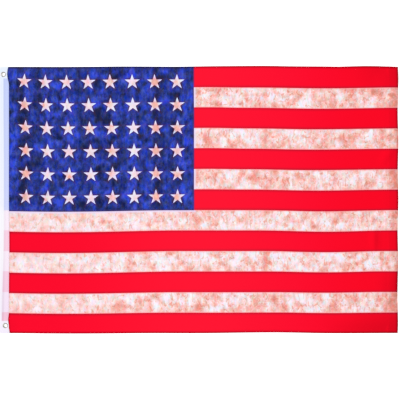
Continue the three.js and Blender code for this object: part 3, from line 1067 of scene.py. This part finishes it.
def makeBand():
    radius, step = band["foldRadius"], band["turnStep"]
    halfAcross = pi / 2 * radius + bandWidth - radius
    halfAlong = halfHeight - step + pi * step + band["turnedEnd"]
    foldLines = [radius * pi / 2 * share for share in (0, 0.25, 0.5, 0.75, 1)]
    endLines = [halfHeight - step + step * share for share in (0, 0.8, 1.6, 2.4, 3.2)]
    low, high = Vector((-halfAcross, -halfAlong, 0)), Vector((halfAcross, halfAlong, 0))
    linesX = foldLines + [-line for line in foldLines[1:]]
    bm = makeCut(low, high, band["cell"], linesX, endLines + [-line for line in endLines])
    for vert in bm.verts:
        vert.co = layTape(vert.co.x, vert.co.y)
    for centre, _ in eyelets.values():
        axis = Vector((centre.x, centre.y))
        hole = [f for f in bm.faces if (f.calc_center_median().xy - axis).length < band["holeRadius"]]
        bmesh.ops.delete(bm, geom=hole, context="FACES")
        for vert in bm.verts:
            spoke = vert.co.xy - axis
            if spoke.length < band["holeRadius"]:
                vert.co.xy = axis + spoke.normalized() * band["holeRadius"]
    for edge in bm.edges:
        edge.smooth = not edge.is_boundary  # the cut edges stay crisp
    piece = finishMesh(bm, "headerBand", [bandFinish()])
    shell = piece.modifiers.new("thickness", "SOLIDIFY")
    shell.thickness = band["tape"]
    shell.offset = -1
    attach(piece, "root")
    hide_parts("header_band")
    return piece, (2 * halfAcross, 2 * halfAlong)


bandPiece, bandCut = makeBand()
print("header band:", len(bandPiece.data.polygons), "faces")


metal = {
    "boreRadius": 3.7 * mm,
    "barrelWall": 0.45 * mm,
    "flangeRadius": 5.8 * mm,
    "washerHeight": 0.9 * mm,
    "barrelFoot": 0.3 * mm,
    "looseFit": 0.3 * mm,
    "seatGap": 0.02 * mm,
    "lip": 0.3 * mm,
    "lipSteps": 4,
    "crownSteps": 10,
    "turns": 48,
    "dullGrain": 900.0,
    "wornGrain": 260.0,
    "tones": [(0.3, (146, 141, 132)), (0.7, (184, 180, 171))],
    "polish": 0.26,  # the least roughness
    "dulling": 0.18,  # and what the grain adds to it
}


def metalFinish():
    finish = Finish("nickel")
    place = finish.add("ShaderNodeTexCoord", {}, {}, 3)
    dull = finish.noise(place, metal["dullGrain"], 3.0)
    worn = finish.noise(place, metal["wornGrain"])
    colours = finish.ramp(worn, [(level, paint(tone)) for level, tone in metal["tones"]])
    roughness = metal["polish"] + dull * metal["dulling"]
    normal = finish.bump(dull, 0.15, 0.05 * mm)
    return finish.done(Base_Color=colours, Metallic=1.0, Roughness=roughness, Normal=normal)


# A ring turned from a closed outline of radius and height round an eyelet's axis.
def makeRing(name, outline, axis, node, material):
    bm = bmesh.new()
    verts = [bm.verts.new((axis.x + radius, axis.y, height)) for radius, height in outline]
    edges = [bm.edges.new((verts[i - 1], verts[i])) for i in range(len(verts))]
    bmesh.ops.spin(
        bm, geom=verts + edges, cent=(axis.x, axis.y, 0), axis=(0, 0, 1), angle=tau,
        steps=metal["turns"], use_merge=True, use_duplicate=False,
    )
    bmesh.ops.recalc_face_normals(bm, faces=bm.faces)
    piece = finishMesh(bm, name, [material])
    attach(piece, "root")
    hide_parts(node)
    return piece


def arcPoints(centre, radius, start, end, count):
    steps = [blendTo(start, end, step / count) for step in range(count + 1)]
    return [(centre[0] + radius * cos(a), centre[1] + radius * sin(a)) for a in steps]


# The flange is a rolled ring whose barrel runs down through the tape to the washer.
def flangeOutline(top):
    bore, outer = metal["boreRadius"], metal["flangeRadius"]
    barrel, foot, high = bore + metal["barrelWall"], metal["barrelFoot"], band["flangeHeight"]
    half, steps = (outer - bore) / 2, metal["crownSteps"]
    crown = [
        (bore + half + half * cos(angle), top - high + high * sin(angle))
        for angle in [pi * step / steps for step in range(steps + 1)]
    ]
    return crown + [(bore, foot), (barrel, foot), (barrel, top - high - metal["seatGap"])]


def washerOutline():
    inner = metal["boreRadius"] + metal["barrelWall"] + metal["looseFit"]
    outer, high, lip = metal["flangeRadius"], metal["washerHeight"], metal["lip"]
    rounded = arcPoints((outer - lip, lip), lip, -pi / 2, 0, metal["lipSteps"])
    return rounded + [(outer, high), (inner, high), (inner, 0)]


def makeEyelets():
    nickel = metalFinish()
    for end, (centre, top) in eyelets.items():
        makeRing("eyeletFlange_" + end, flangeOutline(top), centre, "eyelet_" + end, nickel)
        makeRing("eyeletWasher_" + end, washerOutline(), centre, "washer_" + end, nickel)


makeEyelets()
print("eyelets and washers are turned")


stitches = {
    "pitch": 3.2 * mm,
    "length": 2.5 * mm,
    "width": 0.34 * mm,
    "height": 0.26 * mm,
    "sink": 0.02 * mm,
    "fuzz": 300.0,
    "whites": ((236, 240, 250), (250, 250, 252)),
    "inkFrom": 0.2,
    "stainFrom": 0.4,
    "fromBand": 2 * mm,
    "insideHem": 1.2 * mm,
    "insideFlyHem": 1.5 * mm,
    "fromEnd": 1.5 * mm,
}


def threadFinish(name, white):
    finish = Finish(name)
    place, x, y = finish.layer("flat")
    level = finish.noise(place, stitches["fuzz"])
    if white:
        dull, bright = stitches["whites"]
        colours = finish.mix(level, printTone(dull), printTone(bright))
    else:
        change = finish.noise(place, stitches["fuzz"], output=1)
        ink, stain = level * 0.5 + stitches["inkFrom"], level * 0.5 + stitches["stainFrom"]
        colours = printWithPaintedLight(finish, x, y, ink, stain, change)
    return finish.done(Base_Color=colours, Roughness=0.7, Specular_IOR_Level=0.1)


# Rows of stitches, each a small grain that follows the surface under it.
def makeStitches(name, rows, lay, material):
    shape = bmesh.new()
    shape.loops.layers.uv.new("flat")
    bmesh.ops.create_uvsphere(shape, u_segments=6, v_segments=4, radius=1)
    grain = bpy.data.meshes.new("grain")
    shape.to_mesh(grain)
    shape.free()
    bm = bmesh.new()
    for start, end in rows:
        count = int((end - start).length / stitches["pitch"])
        for number in range(count):
            spot = start.lerp(end, (number + 0.5) / count)
            reach = (end - start).normalized() * stitches["length"] / 2
            back, front = lay(*(spot - reach)), lay(*(spot + reach))
            run = front - back
            turn = run.to_track_quat("X", "Z").to_matrix().to_4x4()
            size = Matrix.Diagonal((run.length / 2, stitches["width"] / 2, stitches["height"] / 2, 1))
            lift = Vector((0, 0, stitches["height"] / 2 - stitches["sink"]))
            stitch = grain.copy()
            stitch.transform(Matrix.Translation((back + front) / 2 + lift) @ turn @ size)
            for corner in stitch.uv_layers["flat"].data:
                corner.uv = spot
            bm.from_mesh(stitch)
            bpy.data.meshes.remove(stitch)
    piece = finishMesh(bm, name, [material])
    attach(piece, "root")
    print(name + ":", len(piece.data.polygons), "faces")
    return piece


def makeSeams():
    start, inset = bandEdge + stitches["fromBand"], stitches["fromEnd"]
    longLine = halfHeight - cloth["longHem"] + stitches["insideHem"]
    flyLine = halfLength - cloth["flyHem"] + stitches["insideFlyHem"]
    endX, endY = halfLength - inset, halfHeight - inset
    hemRows = [(Vector((start, side * longLine)), Vector((endX, side * longLine))) for side in (-1, 1)]
    hemRows.append((Vector((flyLine, -endY)), Vector((flyLine, endY))))
    hems = makeStitches("hemStitches", hemRows, layCloth, threadFinish("hemThread", False))
    radius = band["foldRadius"]
    sewn = pi / 2 * radius + bandWidth - radius - band["seamInset"]
    bandRow = [(Vector((sewn, -endY)), Vector((sewn, endY)))]
    seam = makeStitches("headerStitches", bandRow, layTape, threadFinish("headerThread", True))
    return hems, seam


hemSeams, headerSeam = makeSeams()
